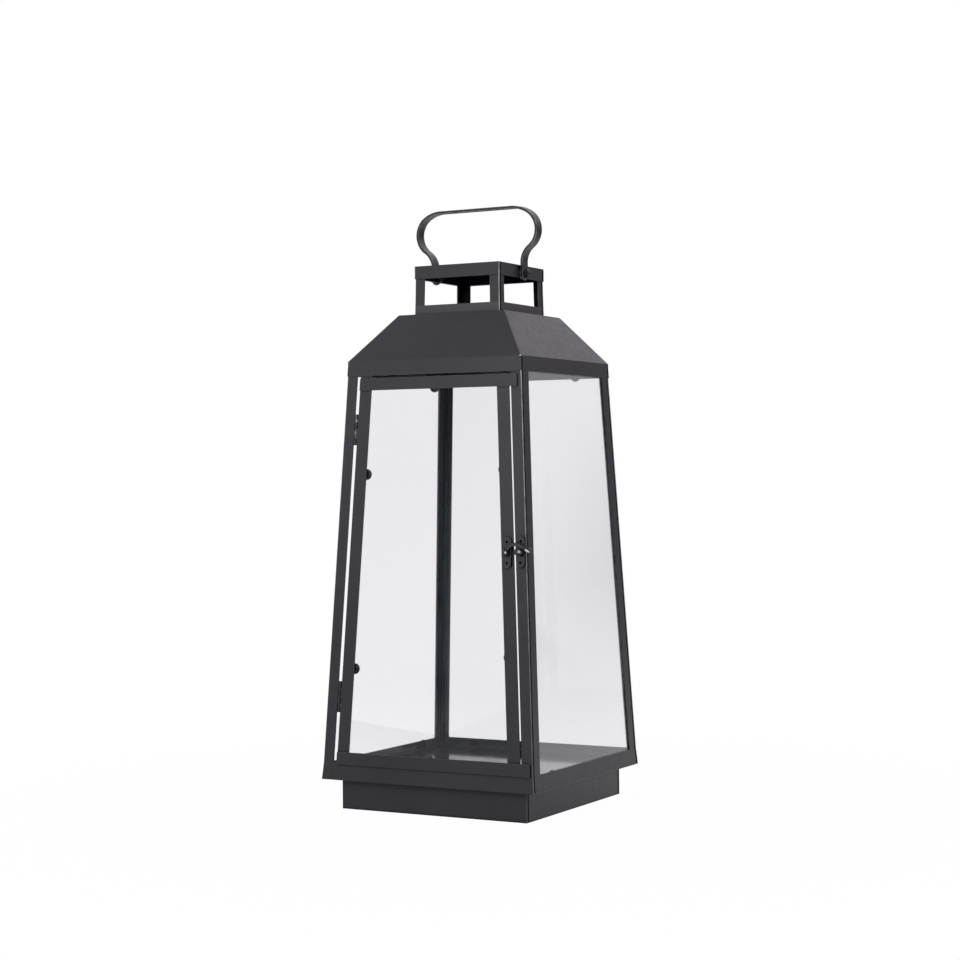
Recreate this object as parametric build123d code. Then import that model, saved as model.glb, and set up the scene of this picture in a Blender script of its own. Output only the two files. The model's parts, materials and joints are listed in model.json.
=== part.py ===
from build123d import *
import math
import os

# A square, tapering candle lantern of black sheet steel and glass.
# The front wall, with the door, faces -Y. +X is to the right and +Z is up.
# The origin is on the ground under the middle of the plinth. All sizes are in millimetres.

# Driving dimensions: the stack of levels, from the ground up
frame_foot_z = 25.7          # lower edge of the wall frames
bottom_rail_height = 13.8    # flared strip along the foot of each wall
eave_z = 363.7               # lower edge of the roof's upright fascia
fascia_height = 12.3
roof_rise = 39.8             # from the top of the fascia to the flat deck
chimney_height = 41.8        # from the deck to the top of the cap
floor_z = 31.0               # upper side of the floor plate, where a candle stands

# Driving dimensions: widths of the square stack
foot_width = 200.0           # wall frames at their lower edge, the widest place
foot_flare = 1.3             # how far each flared strip stands out at its lower edge
shoulder_width = 164.6       # wall frames at the level of the eave
roof_run = 31.5              # from the wall at the eave in to the flat deck's edge
chimney_inset = 10.0         # from the deck's edge to the chimney's foot
chimney_taper = 0.8          # how far each chimney wall leans in
plinth_inset = 12.5          # from the wall's foot to the plinth

# Driving dimensions: sheet and glass
frame_sheet = 1.0
roof_sheet = 0.4
deck_sheet = 1.0
chimney_sheet = 1.0
cap_sheet = 0.5
plinth_sheet = 1.0
floor_sheet = 1.2
door_sheet = 1.0
glass_thickness = 2.0
solder_gap = 0.05            # between pieces that are soldered side by side
seam_width = 2.4             # open seam beside each corner, on the left and right walls
seam_share = 0.5             # depth of that seam, as a share of the sheet's thickness

# Driving dimensions: wall frames
front_post_width = 9.6       # strips beside the corners on the front and back walls
side_post_width = 13.2       # the same on the left and right walls
crown_tuck = 11.0            # how far the frames reach up behind the fascia

# Driving dimensions: plinth, deck, chimney and cap
plinth_flange = 10.0
vent_ledge = 9.4             # from the chimney's foot to the square hole in the deck
chimney_post_width = 9.0
chimney_rail_height = 8.4
cap_rim_height = 10.9
cap_clearance = 0.1
chimney_lip = 0.3            # the chimney's windows reach this far up behind the rim

# Driving dimensions: glass and the tabs that hold it
glass_overlap = 5.0          # glass hidden behind the strips around it
glass_corner_gap = 1.4       # between the edges of neighbouring panes
tab_width = 9.0
tab_sheet = 0.8
side_foot_tab_reach = 1.2    # how far each round tongue shows past the strip that it stands on
side_head_tab_reach = -1.0
back_foot_tab_reach = -0.5
back_head_tab_reach = 2.2
hinge_tab_reach = 3.8
latch_tab_reach = 2.1
rail_tab_reach = 3.1
tab_root = 1.0
tab_gap = 0.3
low_tab_inset = 38.1         # tabs on the fixed panes, from the corners of each wall
high_tab_inset = 31.7

# Driving dimensions: door
door_hinge_gap = 3.4         # between the left post and the door
door_latch_gap = 1.5         # between the door and the right post
door_head_gap = 2.2          # between the door and the fascia
hinge_stile_head_gap = 0.5   # the same, over the hinge stile, which runs past the rail
door_sill_overlap = 0.6      # door's lower rail in front of the wall's bottom rail
door_sill_gap = 0.5          # between the stiles and the wall's bottom rail
door_stop_gap = 0.3          # between the door and the posts that it shuts against
stile_width = 11.3
door_rail_height = 10.3
top_rail_overhang = 7.5      # door rails run past the latch stile, over the right post
bottom_rail_overhang = 9.1
hinge_tab_heights = (118.8, 281.0)
latch_tab_heights = (133.0, 284.0)

# Driving dimensions: hinges
upper_hinge_z = 318.5
lower_hinge_z = 95.0
hinge_length = 26.0
knuckle_count = 4
knuckle_gap = 0.2
knuckle_radius = 1.2
hinge_pin_radius = 0.6
hinge_pin_depth = 0.5        # hinge line behind the outer face of the posts
post_leaf_width = 6.2
door_leaf_width = 4.6
leaf_sheet = 0.8
running_clearance = 0.05     # radial, between each pin and its hole

# Driving dimensions: latch
latch_z = 217.0
pivot_from_stile_edge = 5.5
latch_plate_width = 7.6
latch_plate_sheet = 1.8
plate_hole_spacing = 17.0
plate_rivet_radius = 1.15
plate_rivet_sink = 1.5
hook_arch_radius = 8.15
hook_arch_start = 169.0      # degrees round the arch, at the pivot
hook_arch_end = 68.0         # degrees round the arch, where the straight arm begins
hook_arm_length = 7.6
hook_width = 2.9
hook_thickness = 2.0
hook_eye_radius = 2.9
hook_lift = 0.2              # between the hook and the plate under it
hook_rest_gap = 0.35         # between the shut hook and its peg
thumb_length = 7.2
thumb_width = 4.2
thumb_tilt = 12.0            # degrees that the thumb tab turns out of the hook's plane
pivot_radius = 1.3
pivot_head_radius = 2.7
pivot_head_height = 1.7
peg_radius = 2.8
peg_height = 7.2
peg_along_arm = 3.1          # from the start of the straight arm
head_rounding = 1.3
rounding_limit = 0.9         # most of a head's height or radius that its rounding may take

# Driving dimensions: handle
handle_pivot_drop = 7.1      # hinge line below the top of the cap
strap_width = 10.0
strap_thickness = 2.3
spacer_thickness = 1.1
spacer_radius = 5.0
handle_gap = 0.2             # each side of the strap's eye
handle_rise = 56.5           # from the hinge line to the middle of the grip's thickness
handle_lean = 3.0            # degrees that the handle leans to the front where it was left standing
shoulder_radius = 28.4
shoulder_end = 58.5          # degrees above level, where each shoulder meets its belly
belly_radius = 17.7
belly_inset = 3.2            # from the middle of each leg to the centre of its belly
neck_radius = 16.8
eye_radius = 5.6
handle_rivet_radius = 1.9
rivet_head_radius = 3.5
rivet_head_height = 4.0
rivet_head_rounding = 3.0
rivet_tail_radius = 3.0
rivet_tail_height = 1.2

# Levels and widths worked out from the driving dimensions
knee_width = foot_width - 2 * foot_flare
plinth_width = foot_width - 2 * plinth_inset
deck_width = shoulder_width - 2 * roof_run
chimney_foot_width = deck_width - 2 * chimney_inset
chimney_head_width = chimney_foot_width - 2 * chimney_taper
vent_width = chimney_foot_width - 2 * vent_ledge
knee_z = frame_foot_z + bottom_rail_height
fascia_top_z = eave_z + fascia_height
deck_z = fascia_top_z + roof_rise
cap_top_z = deck_z + chimney_height
cap_under_z = cap_top_z - cap_sheet
cap_rim_z = cap_top_z - cap_rim_height
crown_z = eave_z + crown_tuck
floor_under_z = floor_z - floor_sheet
lean = (knee_width - shoulder_width) / 2 / (eave_z - knee_z)
lean_angle = math.atan(lean)
span = foot_width + cap_top_z


def wall_half(z):
    """Half width of the tapering walls above the knee, at a height."""
    return knee_width / 2 - lean * (z - knee_z)


def line_half(stations, z):
    """Half width at a height between two stations of a straight taper."""
    (low_half, low_z), (high_half, high_z) = stations
    return low_half + (high_half - low_half) * (z - low_z) / (high_z - low_z)


kick_stations = [(foot_width / 2, frame_foot_z), (knee_width / 2, knee_z)]
frame_stations = kick_stations + [(wall_half(crown_z), crown_z)]
chimney_stations = [(chimney_foot_width / 2, deck_z), (chimney_head_width / 2, cap_under_z)]
cap_half = line_half(chimney_stations, cap_rim_z) + cap_clearance + cap_sheet
roof_offset = solder_gap + roof_sheet
roof_stations = [
    (wall_half(eave_z) + roof_offset, eave_z),
    (wall_half(fascia_top_z) + roof_offset, fascia_top_z),
    (deck_width / 2, deck_z),
]
cap_stations = [(cap_half, cap_rim_z), (cap_half, cap_top_z)]
plinth_stations = [(plinth_width / 2, 0.0), (plinth_width / 2, floor_under_z)]
turns = {"front": 0, "right": 90, "back": 180, "left": 270}


# Building blocks for walls that lean: a slice of the wall's section, cut by an outline seen from the front

def band(stations, outer, inner):
    """The front wall's section between two depths behind its outer face, run across the whole width."""
    points = [(outer - half, z) for half, z in stations]
    points += [(inner - half, z) for half, z in reversed(stations)]
    return extrude(Plane.YZ * Polygon(*points, align=None), amount=span, both=True)


def screen(outline):
    """An outline seen from the front, run through the whole depth."""
    return extrude(Plane.XZ * Polygon(*outline, align=None), amount=span, both=True)


def taper(stations, inset):
    """Outline of a symmetrical wall seen from the front, drawn in from its edges."""
    right = [(half - inset, z) for half, z in stations]
    left = [(inset - half, z) for half, z in reversed(stations)]
    return right + left


def between(stations, low_z, high_z):
    """The same taper, cut to two heights between a pair of stations."""
    return [(line_half(stations, low_z), low_z), (line_half(stations, high_z), high_z)]


def wall(stations, sheet, side):
    """One wall of a square stack. Left and right walls stop at the others and have an open seam there."""
    if side in ("front", "back"):
        solid = band(stations, 0, sheet) & screen(taper(stations, 0))
    else:
        seam_bottom = seam_share * sheet
        backing = band(stations, seam_bottom, sheet) & screen(taper(stations, sheet))
        facing = band(stations, 0, seam_bottom) & screen(taper(stations, sheet + seam_width))
        solid = backing + facing
    return solid


def turned(solid, side):
    """A piece made on the front wall, turned round to its own wall."""
    return solid.rotate(Axis.Z, turns[side])


def block(low, high):
    """A box between two corners."""
    size = [b - a for a, b in zip(low, high)]
    return Pos(*low) * Box(*size, align=(Align.MIN, Align.MIN, Align.MIN))


def face_plane(x, z, proud):
    """A plane on the front wall, x to the right, y up the wall and z straight out of it."""
    normal = (0, -math.cos(lean_angle), math.sin(lean_angle))
    return Plane(origin=(x, -wall_half(z) - proud, z), x_dir=(1, 0, 0), z_dir=normal)


def peg_shape(radius, low, high):
    """A round pin along z between two heights."""
    return Pos(0, 0, low) * Cylinder(radius, high - low, align=(Align.CENTER, Align.CENTER, Align.MIN))


def domed(radius, low, high, rounding):
    """A round pin whose upper edge is rounded over."""
    pin = peg_shape(radius, low, high)
    largest = rounding_limit * min(high - low, radius)
    return fillet(pin.edges().group_by(Axis.Z)[-1], min(rounding, largest))


# Plinth and floor

def plinth_wall(side):
    """A folded channel: an upright wall with flanges turned in under the floor and along the ground."""
    half = plinth_width / 2
    full = side in ("front", "back")
    ends = half - plinth_sheet - solder_gap if full else half - plinth_flange - solder_gap
    solid = wall(plinth_stations, plinth_sheet, side)
    for low_z in (0.0, floor_under_z - plinth_sheet):
        low = (-ends, plinth_sheet - half, low_z)
        high = (ends, plinth_flange - half, low_z + plinth_sheet)
        solid += block(low, high)
    return turned(solid, side)


def floor_plate():
    half = line_half(kick_stations, floor_z) - frame_sheet - solder_gap
    return block((-half, -half, floor_under_z), (half, half, floor_z))


# Wall frames, with the window that each one holds

window_stations = [(wall_half(knee_z), knee_z), (wall_half(eave_z), eave_z)]


def wall_frame(side):
    post = front_post_width if side in ("front", "back") else side_post_width
    solid = wall(frame_stations, frame_sheet, side) - screen(taper(window_stations, post))
    if side == "front":
        solid -= strike_holes()
    return turned(solid, side)


# Roof, deck, chimney and cap

def roof_panel(side):
    return turned(wall(roof_stations, roof_sheet, side), side)


def roof_deck():
    half = deck_width / 2 - roof_sheet - solder_gap
    vent = vent_width / 2
    plate = block((-half, -half, deck_z - deck_sheet), (half, half, deck_z))
    return plate - block((-vent, -vent, deck_z - 2 * deck_sheet), (vent, vent, deck_z + deck_sheet))


def chimney_frame(side):
    opening = between(chimney_stations, deck_z + chimney_rail_height, cap_rim_z + chimney_lip)
    solid = wall(chimney_stations, chimney_sheet, side) - screen(taper(opening, chimney_post_width))
    solid = turned(solid, side)
    if side in ("left", "right"):
        solid -= handle_bore()
    return solid


def chimney_cap():
    solid = block((-cap_half, -cap_half, cap_under_z), (cap_half, cap_half, cap_top_z))
    for side in turns:
        solid += turned(wall(cap_stations, cap_sheet, side), side)
    return solid - handle_bore()


# Glass panes and their tabs

pane_stations = [
    (wall_half(knee_z - glass_overlap), knee_z - glass_overlap),
    (wall_half(eave_z + glass_overlap), eave_z + glass_overlap),
]
pane_depth = frame_sheet + solder_gap


def fixed_pane(side):
    edge = frame_sheet + glass_thickness + glass_corner_gap
    solid = band(pane_stations, pane_depth, pane_depth + glass_thickness) & screen(taper(pane_stations, edge))
    return turned(solid, side)


def tab(reach, root_depth):
    """A bent tab: its root stands on the strip beyond the glass, its round tongue lies on the glass.

    The origin is on the glass's outer face at the strip's inner edge, x towards the tip and z inwards."""
    root_x = -glass_overlap - tab_gap - tab_root
    tongue_low = glass_thickness + solder_gap
    tongue_high = tongue_low + tab_sheet
    half = tab_width / 2
    straight = reach - half
    tip = Pos(straight, 0, 0) * peg_shape(half, tongue_low, tongue_high)
    tongue = block((root_x, -half, tongue_low), (straight, half, tongue_high))
    tongue += tip & block((straight, -half, tongue_low), (reach, half, tongue_high))
    return tongue + block((root_x, -half, -root_depth), (root_x + tab_root, half, tongue_high))


def placed_tab(x, z, depth, angle, reach, root_depth):
    """A tab on the front wall, at a depth behind its outer face, its tip turned to an angle."""
    normal = (0, math.cos(lean_angle), -math.sin(lean_angle))
    seat = Plane(origin=(x, depth - wall_half(z), z), x_dir=(1, 0, 0), z_dir=normal)
    return seat * Rot(0, 0, -angle) * tab(reach, root_depth)


def fixed_pane_tabs():
    """Two tabs along the foot and two along the head of each fixed pane."""
    kick_gain = line_half(kick_stations, knee_z - glass_overlap) - wall_half(knee_z - glass_overlap)
    solids = []
    low_x = wall_half(knee_z) - low_tab_inset
    high_x = wall_half(eave_z) - high_tab_inset
    for side in ("right", "back", "left"):
        low_reach = back_foot_tab_reach if side == "back" else side_foot_tab_reach
        high_reach = back_head_tab_reach if side == "back" else side_head_tab_reach
        for sign in (-1, 1):
            low = placed_tab(sign * low_x, knee_z, pane_depth, 90, low_reach, kick_gain)
            high = placed_tab(sign * high_x, eave_z, pane_depth, -90, high_reach, 0)
            solids += [turned(low, side), turned(high, side)]
    return Compound(children=solids)


# Door: two stiles with a rail across each end, in front of them

door_bottom_z = knee_z - door_sill_overlap
door_top_z = eave_z - door_head_gap
door_stations = [(wall_half(door_bottom_z), door_bottom_z), (wall_half(door_top_z), door_top_z)]
stile_bottom_z = knee_z + door_sill_gap
hinge_edge_inset = front_post_width + door_hinge_gap
latch_edge_inset = front_post_width + door_latch_gap
stile_front = -door_stop_gap
stile_back = stile_front + door_sheet
door_pane_depth = stile_back + solder_gap


def slanted(low_z, high_z, left_inset, right_inset):
    """Outline on the front wall between two heights; insets are from the left and the right corner."""
    low, high = wall_half(low_z), wall_half(high_z)
    right = [(low - right_inset, low_z), (high - right_inset, high_z)]
    return right + [(left_inset - high, high_z), (left_inset - low, low_z)]


def stile(outer_inset, top_z):
    """The right-hand stile, drawn in from the right corner and parallel to it."""
    inner_inset = outer_inset + stile_width
    low, high = wall_half(stile_bottom_z), wall_half(top_z)
    outline = [(low - inner_inset, stile_bottom_z), (low - outer_inset, stile_bottom_z)]
    outline += [(high - outer_inset, top_z), (high - inner_inset, top_z)]
    stations = [(low, stile_bottom_z), (high, top_z)]
    return band(stations, stile_front, stile_back) & screen(outline)


def hinge_stile():
    return mirror(stile(hinge_edge_inset, eave_z - hinge_stile_head_gap), about=Plane.YZ)


def latch_stile():
    return stile(latch_edge_inset, door_top_z) - pivot_holes()


def door_rail(low_z, overhang):
    high_z = low_z + door_rail_height
    outline = slanted(low_z, high_z, hinge_edge_inset, latch_edge_inset - overhang)
    return band(door_stations, stile_front - door_sheet, stile_front) & screen(outline)


def door_pane():
    low_z = door_bottom_z + door_rail_height - glass_overlap
    high_z = door_top_z - door_rail_height + glass_overlap
    left = hinge_edge_inset + stile_width - glass_overlap
    right = latch_edge_inset + stile_width - glass_overlap
    outline = slanted(low_z, high_z, left, right)
    return band(door_stations, door_pane_depth, door_pane_depth + glass_thickness) & screen(outline)


def door_pane_tabs():
    """Two tabs on each stile and one in the middle of each rail."""
    solids = []
    for z in hinge_tab_heights:
        x = hinge_edge_inset + stile_width - wall_half(z)
        solids.append(placed_tab(x, z, door_pane_depth, 0, hinge_tab_reach, 0))
    for z in latch_tab_heights:
        x = wall_half(z) - latch_edge_inset - stile_width
        solids.append(placed_tab(x, z, door_pane_depth, 180, latch_tab_reach, 0))
    middle = (hinge_edge_inset - latch_edge_inset) / 2
    low_edge = door_bottom_z + door_rail_height
    high_edge = door_top_z - door_rail_height
    solids.append(placed_tab(middle, low_edge, door_pane_depth, 90, rail_tab_reach, door_sheet))
    solids.append(placed_tab(middle, high_edge, door_pane_depth, -90, rail_tab_reach, door_sheet))
    return Compound(children=solids)


# Hinges: knuckles by turns on the post leaf and the door leaf, on one pin along the leaning post

hinge_inset = front_post_width + door_hinge_gap / 2
hinge_slant = Vector(lean, lean, 1).normalized()
hinge_across = (Vector(1, 0, 0) - hinge_slant * hinge_slant.X).normalized()
knuckle_length = (hinge_length - (knuckle_count - 1) * knuckle_gap) / knuckle_count


def hinge_place(z):
    """Hinge line at a height: x along the wall, y inwards, z up the hinge pin."""
    origin = (hinge_inset - wall_half(z), hinge_pin_depth - wall_half(z), z)
    return Plane(origin=origin, x_dir=hinge_across, z_dir=hinge_slant)


def knuckles(first):
    """Low and high ends of every other knuckle, along the pin."""
    ends = []
    for index in range(first, knuckle_count, 2):
        low = index * (knuckle_length + knuckle_gap) - hinge_length / 2
        ends.append((low, low + knuckle_length))
    return ends


def hinge_leaf(z, first, sign, width, depth):
    """A leaf to one side of the pin, its front face at a depth behind the pin's line."""
    near = door_hinge_gap / 2
    edges = sorted((sign * near, sign * (near + width)))
    leaf = block((edges[0], depth, -hinge_length / 2), (edges[1], depth + leaf_sheet, hinge_length / 2))
    for low, high in knuckles(first):
        link = sorted((0, sign * near))
        leaf += block((link[0], depth, low), (link[1], depth + leaf_sheet, high))
        leaf += peg_shape(knuckle_radius, low, high)
    leaf -= peg_shape(hinge_pin_radius + running_clearance, -hinge_length, hinge_length)
    return hinge_place(z) * leaf


def post_hinge_leaf(z):
    return hinge_leaf(z, 0, -1, post_leaf_width, frame_sheet - hinge_pin_depth)


def door_hinge_leaf(z):
    return hinge_leaf(z, 1, 1, door_leaf_width, stile_back - hinge_pin_depth)


def hinge_pins():
    pin = peg_shape(hinge_pin_radius, -hinge_length / 2, hinge_length / 2)
    return Compound(children=[hinge_place(z) * pin for z in (lower_hinge_z, upper_hinge_z)])


# Latch: a hook that turns on the door's plate and drops over a peg on the post's plate

pivot_x = wall_half(latch_z) - latch_edge_inset - pivot_from_stile_edge
pivot_place = face_plane(pivot_x, latch_z, door_stop_gap)
hook_low = latch_plate_sheet + hook_lift
hook_high = hook_low + hook_thickness
arch_start = math.radians(hook_arch_start)
arch_end = math.radians(hook_arch_end)
arch_centre = (-hook_arch_radius * math.cos(arch_start), -hook_arch_radius * math.sin(arch_start))
arm_start = (
    arch_centre[0] + hook_arch_radius * math.cos(arch_end),
    arch_centre[1] + hook_arch_radius * math.sin(arch_end),
)
arm_along = (math.sin(arch_end), -math.cos(arch_end))
peg_below = hook_width / 2 + hook_rest_gap + peg_radius
peg_x = arm_start[0] + peg_along_arm * arm_along[0] + peg_below * arm_along[1]
peg_y = arm_start[1] + peg_along_arm * arm_along[1] - peg_below * arm_along[0]
strike_z = latch_z + peg_y * math.cos(lean_angle)
strike_place = face_plane(pivot_x + peg_x, strike_z, 0)
rivet_ends = (-plate_hole_spacing / 2, plate_hole_spacing / 2)
shank_radius = pivot_radius
drill_depth = 3 * frame_sheet + 3 * door_sheet


def drill(place, radius, y):
    """A round cutter straight through the wall at a height above a place."""
    return place * Pos(0, y, 0) * peg_shape(radius, -drill_depth, drill_depth)


def latch_holes(place):
    """The pivot or peg hole and the two rivet holes of one latch plate."""
    cutters = drill(place, shank_radius + running_clearance, 0)
    for y in rivet_ends:
        cutters += drill(place, plate_rivet_radius + running_clearance, y)
    return cutters


def pivot_holes():
    return latch_holes(pivot_place)


def strike_holes():
    return latch_holes(strike_place)


def latch_plate(place):
    """A plate with round ends, as long as its two rivets need."""
    outline = Rot(0, 0, 90) * SlotCenterToCenter(plate_hole_spacing, latch_plate_width)
    return place * extrude(outline, amount=latch_plate_sheet) - latch_holes(place)


def plate_rivets(place, sheet):
    pin = peg_shape(plate_rivet_radius, -sheet, latch_plate_sheet - plate_rivet_sink)
    return [place * Pos(0, y, 0) * pin for y in rivet_ends]


def latch_hook():
    """An arched arm from the pivot's eye over the peg, ending in a thumb tab bent outwards."""
    sweep_angle = hook_arch_start - hook_arch_end
    arch = CenterArc(arch_centre, hook_arch_radius, hook_arch_end, sweep_angle)
    outline = SlotArc(arch, hook_width) + Circle(hook_eye_radius)
    arm = SlotCenterToCenter(hook_arm_length, hook_width)
    arm_angle = hook_arch_end - 90
    outline += Pos(*arm_start) * Rot(0, 0, arm_angle) * Pos(hook_arm_length / 2, 0) * arm
    hook = Pos(0, 0, hook_low) * extrude(outline, amount=hook_thickness)
    thumb = extrude(SlotOverall(thumb_length, thumb_width), amount=hook_thickness)
    thumb = Rot(0, -thumb_tilt, 0) * Pos(thumb_length / 2, 0, 0) * thumb
    thumb_start = Pos(hook_arm_length - hook_width / 2, 0, 0)
    hook += Pos(*arm_start, hook_low) * Rot(0, 0, arm_angle) * thumb_start * thumb
    hook -= peg_shape(pivot_radius + running_clearance, 0, hook_high + thumb_length)
    return pivot_place * hook


def latch_pivot():
    """A rivet flush with the back of the stile, with a round head over the hook."""
    head_low = hook_high + hook_lift
    rivet = peg_shape(pivot_radius, -door_sheet, head_low)
    rivet += domed(pivot_head_radius, head_low, head_low + pivot_head_height, head_rounding)
    return pivot_place * rivet


def latch_peg():
    """A plain round peg, riveted through the strike plate and the post."""
    peg = peg_shape(shank_radius, -frame_sheet, latch_plate_sheet)
    peg += domed(peg_radius, latch_plate_sheet, latch_plate_sheet + peg_height, head_rounding)
    return strike_place * peg


# Handle: a strap bent to a loop, hung on two rivets through the rim of the cap

handle_z = cap_top_z - handle_pivot_drop
leg_x = cap_half + spacer_thickness + handle_gap + strap_thickness / 2
belly_half_span = leg_x - belly_inset
grip_z = handle_z + handle_rise
shoulder_angle = math.radians(shoulder_end)
shoulder_x = belly_half_span - (shoulder_radius - belly_radius) * math.cos(shoulder_angle)
shoulder_z = grip_z - shoulder_radius
belly_z = shoulder_z + (shoulder_radius - belly_radius) * math.sin(shoulder_angle)
bend_sum = belly_radius + neck_radius
neck_angle = math.degrees(math.acos((neck_radius + belly_inset) / bend_sum))
neck_x = leg_x + neck_radius
neck_z = belly_z - bend_sum * math.sin(math.radians(neck_angle))
rivet_head_low = leg_x + strap_thickness / 2 + handle_gap


def handle_bore():
    """A cutter along X for the two handle rivets."""
    bore = peg_shape(handle_rivet_radius + running_clearance, -span, span)
    return Pos(0, 0, handle_z) * Rot(0, 90, 0) * bore


def strap_side(shift):
    """One face of the strap, from the middle of the grip to the right eye, moved out by a shift."""
    shoulder_sweep = shoulder_end - 90
    belly_sweep = -(shoulder_end + neck_angle)
    return [
        Line((0, grip_z + shift), (shoulder_x, grip_z + shift)),
        CenterArc((shoulder_x, shoulder_z), shoulder_radius + shift, 90, shoulder_sweep),
        CenterArc((belly_half_span, belly_z), belly_radius + shift, shoulder_end, belly_sweep),
        CenterArc((neck_x, neck_z), neck_radius - shift, 180 - neck_angle, neck_angle),
        Line((leg_x + shift, neck_z), (leg_x + shift, handle_z)),
    ]


def handle_strap():
    half = strap_thickness / 2
    edges = strap_side(half) + strap_side(-half)
    edges.append(Line((0, grip_z - half), (0, grip_z + half)))
    edges.append(Line((leg_x - half, handle_z), (leg_x + half, handle_z)))
    profile = make_face(Curve() + edges)
    strap = extrude(Plane.XZ * profile, amount=strap_width / 2, both=True)
    eye = peg_shape(eye_radius, leg_x - half, leg_x + half)
    strap += Pos(0, 0, handle_z) * Rot(0, 90, 0) * eye
    strap = strap + mirror(strap, about=Plane.YZ) - handle_bore()
    return strap.rotate(Axis((0, 0, handle_z), (1, 0, 0)), handle_lean)


def on_both_sides(solid):
    """A piece made along +X at the right rivet, and its mirror image on the left."""
    right = Pos(0, 0, handle_z) * Rot(0, 90, 0) * solid
    return Compound(children=[right, mirror(right, about=Plane.YZ)])


def handle_rivets():
    """Round head outside the strap, shank through strap, spacer and rim, and a flat tail inside."""
    tail_high = line_half(chimney_stations, cap_under_z) - chimney_sheet - solder_gap
    rivet_head_high = rivet_head_low + rivet_head_height
    rivet = domed(rivet_head_radius, rivet_head_low, rivet_head_high, rivet_head_rounding)
    rivet += peg_shape(handle_rivet_radius, tail_high, rivet_head_low)
    rivet += peg_shape(rivet_tail_radius, tail_high - rivet_tail_height, tail_high)
    return on_both_sides(rivet)


def handle_spacers():
    ring = peg_shape(spacer_radius, cap_half, cap_half + spacer_thickness)
    ring -= peg_shape(handle_rivet_radius + running_clearance, 0, span)
    return on_both_sides(ring)


# All pieces, by name

pieces = {"floor_plate": floor_plate()}
for side in turns:
    pieces["plinth_" + side] = plinth_wall(side)
    pieces["wall_frame_" + side] = wall_frame(side)
    pieces["roof_panel_" + side] = roof_panel(side)
    pieces["chimney_frame_" + side] = chimney_frame(side)
    if side != "front":
        pieces["glass_" + side] = fixed_pane(side)
pieces["fixed_glass_tabs"] = fixed_pane_tabs()
pieces["roof_deck"] = roof_deck()
pieces["chimney_cap"] = chimney_cap()
pieces["door_hinge_stile"] = hinge_stile()
pieces["door_latch_stile"] = latch_stile()
pieces["door_top_rail"] = door_rail(door_top_z - door_rail_height, top_rail_overhang)
pieces["door_bottom_rail"] = door_rail(door_bottom_z, bottom_rail_overhang)
pieces["door_glass"] = door_pane()
pieces["door_glass_tabs"] = door_pane_tabs()
for name, z in (("upper", upper_hinge_z), ("lower", lower_hinge_z)):
    pieces[name + "_hinge_post_leaf"] = post_hinge_leaf(z)
    pieces[name + "_hinge_door_leaf"] = door_hinge_leaf(z)
pieces["hinge_pins"] = hinge_pins()
pieces["latch_plate"] = latch_plate(pivot_place)
pieces["latch_plate_rivets"] = Compound(children=plate_rivets(pivot_place, door_sheet))
pieces["latch_pivot"] = latch_pivot()
pieces["latch_hook"] = latch_hook()
pieces["strike_plate"] = latch_plate(strike_place)
pieces["strike_plate_rivets"] = Compound(children=plate_rivets(strike_place, frame_sheet))
pieces["latch_peg"] = latch_peg()
pieces["handle_strap"] = handle_strap()
pieces["handle_rivets"] = handle_rivets()
pieces["handle_spacers"] = handle_spacers()

os.makedirs("parts", exist_ok=True)
for name, piece in pieces.items():
    export_step(piece, os.path.join("parts", name + ".step"))
print(len(pieces), "pieces written")
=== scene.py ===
import json
import math
import bmesh
import bpy
from mathutils import Matrix, Vector
from mathutils.noise import noise as noise_value


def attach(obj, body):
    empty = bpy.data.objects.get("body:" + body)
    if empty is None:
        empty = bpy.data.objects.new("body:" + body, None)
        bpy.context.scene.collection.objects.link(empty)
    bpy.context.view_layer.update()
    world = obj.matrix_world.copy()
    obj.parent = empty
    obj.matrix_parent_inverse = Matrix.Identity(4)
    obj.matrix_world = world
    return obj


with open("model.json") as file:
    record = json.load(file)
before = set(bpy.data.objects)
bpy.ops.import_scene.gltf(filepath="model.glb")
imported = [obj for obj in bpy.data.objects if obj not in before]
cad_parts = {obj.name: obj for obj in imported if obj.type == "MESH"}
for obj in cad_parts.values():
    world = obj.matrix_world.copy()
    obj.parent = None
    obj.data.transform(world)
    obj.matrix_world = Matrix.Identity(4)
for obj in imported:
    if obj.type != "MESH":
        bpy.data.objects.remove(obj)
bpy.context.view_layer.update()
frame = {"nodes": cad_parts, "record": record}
nodes = frame["nodes"]
scene = bpy.context.scene


# Small helpers for shader nodes

def shader(name):
    """A new node material: the material, its tree and its Principled shader."""
    material = bpy.data.materials.new(name)
    material.use_nodes = True
    tree = material.node_tree
    return material, tree, tree.nodes["Principled BSDF"]


def coordinates(tree):
    """Coordinates in the lantern's own frame, in metres."""
    return tree.nodes.new("ShaderNodeTexCoord").outputs["Object"]


def stretched(tree, place, x, y, z):
    """Coordinates scaled along each axis."""
    node = tree.nodes.new("ShaderNodeMapping")
    node.inputs["Scale"].default_value = (x, y, z)
    tree.links.new(place, node.inputs["Vector"])
    return node.outputs[0]


def noise(tree, place, scale, detail=3.0, roughness=0.55):
    """Smooth noise round 0.5, with about as many lumps to the metre as scale says."""
    node = tree.nodes.new("ShaderNodeTexNoise")
    node.inputs["Scale"].default_value = scale
    node.inputs["Detail"].default_value = detail
    node.inputs["Roughness"].default_value = roughness
    tree.links.new(place, node.inputs["Vector"])
    return node.outputs[0]


def spread(tree, value, low, high, start=0.35, end=0.65):
    """A value between start and end, mapped to the range from low to high."""
    node = tree.nodes.new("ShaderNodeMapRange")
    node.inputs["From Min"].default_value = start
    node.inputs["From Max"].default_value = end
    node.inputs["To Min"].default_value = low
    node.inputs["To Max"].default_value = high
    tree.links.new(value, node.inputs["Value"])
    return node.outputs[0]


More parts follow.
